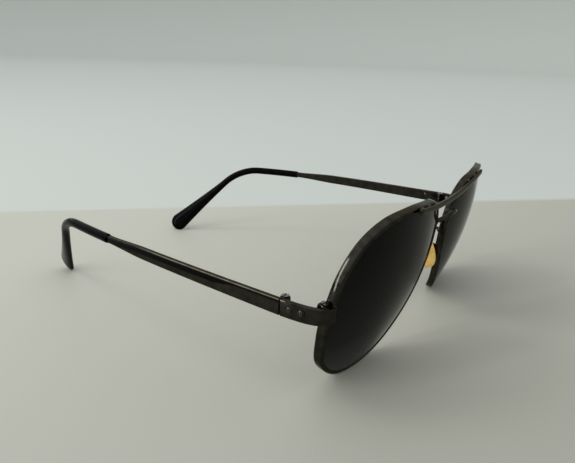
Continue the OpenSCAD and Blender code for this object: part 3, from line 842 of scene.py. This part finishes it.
# %% [markdown]
# ## Hinges
#
# Three knuckles on one screw: two belong to the front and one to the temple. Each has a flat leaf
# that runs along the inside of its strip. A knuckle could be a bevelled cylinder, but a turned
# profile gives its bore and both its broken edges in one go.

# %% Hinge knuckles and leaves
BARREL_D, BARREL_L, KNUCKLE_GAP = 2.7, 4.2, 0.08
LEAF_L, LEAF_T = 7.0, 0.8
PIN_R = 0.64
KNUCKLE_L = (BARREL_L - 2 * KNUCKLE_GAP) / 3
BARREL_Z = HINGE_Z - BARREL_L / 2 - 0.15
LEAF_X = HALF_W - STRIP_T - LEAF_T + BRAZE


def knuckle(low):
    r, c = BARREL_D / 2, 0.16
    ring_profile = [(PIN_R, low), (r - c, low), (r - c * 0.3, low + c * 0.3), (r, low + c),
                    (r, low + KNUCKLE_L - c), (r - c * 0.3, low + KNUCKLE_L - c * 0.3),
                    (r - c, low + KNUCKLE_L), (PIN_R, low + KNUCKLE_L)]
    turned = placed(lathe(ring_profile), Matrix.Translation((AXIS_X, HINGE_Y, 0)))
    web = block((LEAF_X, HINGE_Y - r - 0.3, low + 0.02),
                (LEAF_X + LEAF_T, HINGE_Y - 0.25, low + KNUCKLE_L - 0.02))
    return join(turned, web)


def leaf(height, shaved=0):
    return block((LEAF_X, HINGE_Y - LEAF_L, HINGE_Z - height / 2),
                 (LEAF_X + LEAF_T, HINGE_Y - BARREL_D / 2 - 0.1, HINGE_Z + height / 2 - shaved))


def front_hinge():
    return join(knuckle(BARREL_Z), knuckle(BARREL_Z + BARREL_L - KNUCKLE_L), leaf(END_H - 0.8, 0.7))


def temple_hinge():
    pivot = Vector((LEAF_X, HINGE_Y, 0))
    turned = placed(leaf(TEMPLE_MID_H - 0.6), Matrix.Translation(pivot)
                    @ Matrix.Rotation(math.radians(-SPLAY), 4, "Z") @ Matrix.Translation(-pivot))
    flip = Matrix.Translation((0, 2 * HINGE_Y, 0)) @ Matrix.Diagonal((1, -1, 1, 1))
    return placed(join(knuckle(BARREL_Z + KNUCKLE_L + KNUCKLE_GAP), turned), flip)


pair(front_hinge, "hinge_knuckles", "front", gunmetal, "frame_metal", "hinge_front_{}")
pair(temple_hinge, "hinge_knuckle_mid", "temple_{}", gunmetal, "frame_metal", "hinge_temple_{}")

# %% [markdown]
# ## Rivets
#
# Two rivets hold the leaf to the end piece. Their low domes are rubbed brighter than the frame,
# and round each head lies a dark ring of painted shade, where the head meets the strip. A dome
# is a profile spun once round its own axis and then turned to face outwards, which is just how a
# rivet is made.

# %% Rivets
RIVET_AHEAD = (2.6, 5.9)                  # ahead of the hinge line
DOME_R, DOME_H, DOME_UP = 0.78, 0.26, 0.03
SHANK = [(0.8, -0.1), (0.5, -0.3), (0.5, -1.6), (0, -1.6)]
OUTWARDS = Matrix.Rotation(math.pi / 2, 4, "Y")


def at_rivets(profile):
    """The same turned shape at both rivets, with its axis pointing outwards."""
    return join(*(placed(lathe(profile, closed=False),
                         Matrix.Translation((HALF_W, HINGE_Y - y, HINGE_Z)) @ OUTWARDS)
                  for y in RIVET_AHEAD))


def rivet_heads():
    dome = [(DOME_R * math.sin(q), DOME_UP + DOME_H * math.cos(q))
            for q in (math.radians(15 * i) for i in range(6))]
    return at_rivets(dome + SHANK)


# Painted shade: a dark ring in the solder finish round each head, standing for the shade at its
# edge.
def rivet_shade_rings():
    return at_rivets([(0, 0.02), (0.82, 0.02), (0.9, 0.1), (1.08, 0.09), (1.16, -0.1), (0, -0.1)])


pair(rivet_heads, "rivet_heads", "front", rivet_steel, "frame_metal", "hinge_rivets_{}")
pair(rivet_shade_rings, "rivet_shade_rings", "front", solder_and_shade, "frame_metal")

# %% [markdown]
# ## Closing blocks
#
# Behind the end piece two small blocks are brazed to the cut ends of the rim. A screw draws them
# together and the rim tightens on its lens. They are plain bar, so a box with broken edges is
# enough. It is built upright and then set with the lean and wrap of the lens.

# %% Closing blocks
BLOCK_W, BLOCK_D, BLOCK_UP, BLOCK_DOWN, RIM_SLIT = 2.5, 3.1, 3.2, 1.9, 0.3
rim_cut = outline(0)
BLOCK_PLACE = Matrix.Translation((rim_cut.x - 0.4, sag(rim_cut) + SEAT_SINK - BRAZE, rim_cut.y))


def closing_block(low, high):
    return placed(block((0, 0, low), (BLOCK_W, BLOCK_D, high), 0.2), FACE @ BLOCK_PLACE)


pair(lambda: closing_block(RIM_SLIT / 2, BLOCK_UP), "block_upper", "front", gunmetal,
     "frame_metal", "closing_block_upper_{}")
pair(lambda: closing_block(-BLOCK_DOWN, -RIM_SLIT / 2), "block_lower", "front", gunmetal,
     "frame_metal", "closing_block_lower_{}")

# %% [markdown]
# ## Pad boxes
#
# The box that holds a nose pad is a channel bent from sheet: a back wall and two cheeks, with the
# pad's insert between them. Three blocks overlap a little at the corners, so no gap shows.

# %% Pad boxes
BOX_L, BOX_H, CHEEK = 3.2, 2.4, 1.0
BOX_BACK = BOX_IN + BOX_W / 2             # the back wall is measured from here


def pad_channel():
    back_wall = block((BOX_BACK + 0.95, -BOX_L / 2, -BOX_H / 2),
                      (BOX_BACK + 1.45, BOX_L / 2, BOX_H / 2))
    cheeks = [block((BOX_IN, y - CHEEK / 2, -BOX_H / 2),
                    (BOX_IN + BOX_W + 0.6, y + CHEEK / 2, BOX_H / 2))
              for y in ((CHEEK - BOX_L) / 2, (BOX_L - CHEEK) / 2)]
    return placed(join(back_wall, *cheeks), PAD_FRAME)


pair(pad_channel, "pad_channel", "front", gunmetal, "frame_metal", "pad_box_{}")

# %% [markdown]
# ## Solder
#
# Every joint on the front is brazed, and a little filler always stays as a low, uneven fillet.
# Each one starts as a ball that is flattened, skewed by a slow wave and smoothed, because a drop
# of metal is never quite round.

# %% Solder fillets
def fillet(place, size, seed):
    bm = bmesh.new()
    bmesh.ops.create_icosphere(bm, subdivisions=3, radius=1)
    for v in bm.verts:
        v.co *= 1 + 0.12 * math.sin(3 * v.co.x + seed) + 0.08 * math.sin(4 * v.co.z + 2 * seed)
    bmesh.ops.smooth_vert(bm, verts=bm.verts, factor=0.5, use_axis_x=True, use_axis_y=True,
                          use_axis_z=True)
    bmesh.ops.scale(bm, vec=size, verts=bm.verts)
    bmesh.ops.translate(bm, vec=place, verts=bm.verts)
    return bm


def fillets():
    spots = [(on_rim(nasal_place(BRIDGE_UP), 0.1, BRIDGE_IN), (1.1, 1.2, 1.3)),
             (on_rim(nasal_place(ARM_UP), -RIM_WALL / 2, RIM_DEPTH - 0.1), (0.9, 0.75, 1.0))]
    for side in (1, -1):
        height = HINGE_Z - END_DROP + side * (END_H / 2 - 0.4)
        spots.append((Vector((seat.x - 0.2, seat.y + 0.35, height)), (1.2, 0.7, 0.7)))
    for t in (BROW_END + 0.25, 5.1, 5.8):
        spot = on_rim(t, -RIM_WALL / 2, 0.15)
        spots.append((Vector((spot.x, max(spot.y, brow_y), spot.z)), (1.3, 0.45, 0.6)))
    return join(*(fillet(place, size, i) for i, (place, size) in enumerate(spots)))


pair(fillets, "solder_fillets", "front", solder_and_shade, "frame_metal")

# %% [markdown]
# ## Screws and inserts
#
# The slotted screws and the inserts inside the pads already have their true shape as solids.
# Modelling them again would gain nothing, so they only get the right finish in place of the one
# that came with the frame.

# %% Refinish the small parts
SMALL = {"closing_screw": screw_steel, "hinge_screw": screw_steel, "pad_screw": screw_steel,
         "pad_insert": gunmetal}
for stem, material in SMALL.items():
    for side in ("left", "right"):
        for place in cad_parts[f"{stem}_{side}"].material_slots:
            place.material = material
print("refinished", 2 * len(SMALL), "small parts")

# %% [markdown]
# ## The table
#
# The pair stands on a pale cream table with a cooler, paler tone behind it. Away from the window
# the cream is painted darker, a painted shade for the light that falls off there. A plane for the
# wall would leave a seam and an edge. Instead the tones are blended by place on one wide floor, so
# nothing ends abruptly from any side.

# %% Table finish
# PAINTED_SHADE is painted shade: the cream drawn darker where the window's light falls off.
CREAM, PAINTED_SHADE, BACKDROP = (0.452, 0.447, 0.388), (0.335, 0.330, 0.278), (0.49, 0.515, 0.478)
table_top, shader = new_finish("cream_table", CREAM, 0.55, Specular_IOR_Level=0.2)


def climb(material, operation, start, end, direction=(0, 0, 1)):
    """A value that goes from 0 to 1 as a measure of the place goes from start to end, in metres."""
    nodes, links = material.node_tree.nodes, material.node_tree.links
    place = nodes.new("ShaderNodeTexCoord")
    measure = nodes.new("ShaderNodeVectorMath")
    measure.operation = operation
    measure.inputs[1].default_value = Vector(direction).normalized()
    level = nodes.new("ShaderNodeMapRange")
    level.interpolation_type = "SMOOTHSTEP"
    level.inputs["From Min"].default_value = start
    level.inputs["From Max"].default_value = end
    links.new(place.outputs["Object"], measure.inputs[0])
    links.new(measure.outputs["Value"], level.inputs["Value"])
    return level


# %% [markdown]
# ## Tones of the table
#
# Three values share one colour ramp: how far a place is from the side with the painted shade,
# whether it lies behind the table's end, and how far out it is. The highest of them wins, so the
# backdrop's tone covers the cream without a mask for each.

# %% Blend the tones
# Painted shade: the cream darkens towards the side away from the window, as the light falls off.
tone = climb(table_top, "DOT_PRODUCT", -0.20, 0.12, (0.1, 1, 0))
tone.inputs["To Max"].default_value = 0.5
behind = climb(table_top, "DOT_PRODUCT", 0.103, 0.114, (0.735, 0.678, 0))
far = climb(table_top, "LENGTH", 0.4, 0.9)
highest = tone.outputs["Result"]
for other in (behind, far):
    higher = table_top.node_tree.nodes.new("ShaderNodeMath")
    higher.operation = "MAXIMUM"
    table_top.node_tree.links.new(highest, higher.inputs[0])
    table_top.node_tree.links.new(other.outputs["Result"], higher.inputs[1])
    highest = higher.outputs["Value"]
vary_color(table_top, shader, highest, (0, PAINTED_SHADE), (0.5, CREAM), (1, BACKDROP))
print("table tones blended:", PAINTED_SHADE, CREAM, BACKDROP)

# %% [markdown]
# ## Floor
#
# A flat plane would end in a hard horizon. One profile, level in the middle and curling up at the
# far edge, is spun into a wide open dish, with the same helper that turned the knuckles.

# %% Floor
DISH_FLAT, DISH_BEND, DISH_WALL = 2.4, 0.5, 0.02      # in metres
profile = [(0, 0), (DISH_FLAT, 0)]
profile += [(DISH_FLAT + DISH_BEND * math.sin(q), DISH_BEND * (1 - math.cos(q)))
            for q in (math.radians(10 * i) for i in range(1, 10))]
profile.append((profile[-1][0], profile[-1][1] + DISH_WALL))
bm = lathe(profile, closed=False, steps=96)
for face in bm.faces:
    face.smooth = True
mesh = bpy.data.meshes.new("floor_dish")
bm.to_mesh(mesh)
bm.free()
mesh.materials.append(table_top)
floor = bpy.data.objects.new("floor_dish", mesh)
bpy.context.collection.objects.link(floor)
print(f"floor: {len(mesh.polygons)} faces, {2 * (DISH_FLAT + DISH_BEND):.1f} m across")

# %% [markdown]
# ## Lamps
#
# A sun lamp would throw hard shadows, so both lamps are soft panels on the window side. The key
# hangs high and throws faint shadows forwards. The other is tall and narrow, and draws the long
# bright line on the near rim. With the room's own light they add up to about one on the table, so
# a colour looks as it is set.

# %% Lamp
GLASSES_AT = Vector((0, 0, 0.02))


def softbox(name, place, size, power, color):
    lamp = bpy.data.lights.new(name, "AREA")
    lamp.shape = "RECTANGLE"
    lamp.size, lamp.size_y = size
    lamp.energy = power
    lamp.color = color
    obj = bpy.data.objects.new(name, lamp)
    obj.location = place
    obj.rotation_euler = (GLASSES_AT - Vector(place)).to_track_quat("-Z", "Y").to_euler()
    obj.visible_camera = False
    bpy.context.collection.objects.link(obj)
    print(f"{name}: {size[0]} by {size[1]} m, {power} W")


softbox("key", (-0.35, 0.60, 0.75), (0.34, 0.34), 1.9, (1.0, 0.98, 0.95))
softbox("window", (-0.88, 0.42, 0.40), (0.07, 0.85), 2.9, (0.96, 0.98, 1.0))

# %% [markdown]
# ## Room light
#
# Polished metal shows the room, so the room needs some shape: brighter towards the window, dimmer
# behind the viewer. A picture of a room could be wrapped round the scene, but a simple ramp by
# direction is enough and stays neutral. The camera itself sees the flat backdrop tone instead.

# %% World
world = bpy.data.worlds.new("room")
bpy.context.scene.world = world
world.use_nodes = True
nodes, links = world.node_tree.nodes, world.node_tree.links
toward = nodes.new("ShaderNodeTexCoord")
facing_window = nodes.new("ShaderNodeVectorMath")
facing_window.operation = "DOT_PRODUCT"
facing_window.inputs[1].default_value = Vector((-0.35, 0.6, 0.72)).normalized()
level = nodes.new("ShaderNodeMapRange")
level.inputs["From Min"].default_value = -1
level.inputs["To Min"].default_value = 0.36
level.inputs["To Max"].default_value = 1.2
room = nodes["Background"]
room.inputs["Color"].default_value = (0.96, 0.985, 1.0, 1)
backdrop = nodes.new("ShaderNodeBackground")
backdrop.inputs["Color"].default_value = (*BACKDROP, 1)
seen = nodes.new("ShaderNodeLightPath")
choice = nodes.new("ShaderNodeMixShader")
links.new(toward.outputs["Generated"], facing_window.inputs[0])
links.new(facing_window.outputs["Value"], level.inputs["Value"])
links.new(level.outputs["Result"], room.inputs["Strength"])
links.new(seen.outputs["Is Camera Ray"], choice.inputs["Fac"])
links.new(room.outputs["Background"], choice.inputs[1])
links.new(backdrop.outputs["Background"], choice.inputs[2])
links.new(choice.outputs["Shader"], nodes["World Output"].inputs["Surface"])
print("room set, backdrop tone", BACKDROP)

# %% [markdown]
# ## Camera
#
# The view is from the wearer's right, a little in front of the hinges, looking slightly down. A
# constraint could aim the camera at the glasses, but three angles and a place fix the view to the
# last digit. Both come from the real pair's proportions, measured from the hinge line.

# %% Camera
TURN, DROP, ROLL = math.radians(-60.535), math.radians(17.505), math.radians(2.099)
EYE = Vector((-185.34, -67.31 + HINGE_Y, 89.57))
FOCAL_IN_WIDTHS = 600 / 575
SENSOR = 36
camera_data = bpy.data.cameras.new("camera")
camera_data.sensor_width = SENSOR
camera_data.lens = SENSOR * FOCAL_IN_WIDTHS
camera_data.clip_start = 0.01
camera = bpy.data.objects.new("camera", camera_data)
bpy.context.collection.objects.link(camera)
back = Vector((math.sin(TURN) * math.cos(DROP), -math.cos(TURN) * math.cos(DROP), math.sin(DROP)))
right = (-back).cross(Vector((0, 0, 1))).normalized()
up = back.cross(right)
right, up = (math.cos(ROLL) * right + math.sin(ROLL) * up,
             math.cos(ROLL) * up - math.sin(ROLL) * right)
pose = Matrix((right, up, back)).transposed().to_4x4()
pose.translation = EYE * MM
camera.matrix_world = pose
bpy.context.scene.camera = camera
bpy.context.scene.view_settings.view_transform = "Standard"
print("camera at", [round(v, 3) for v in pose.translation])
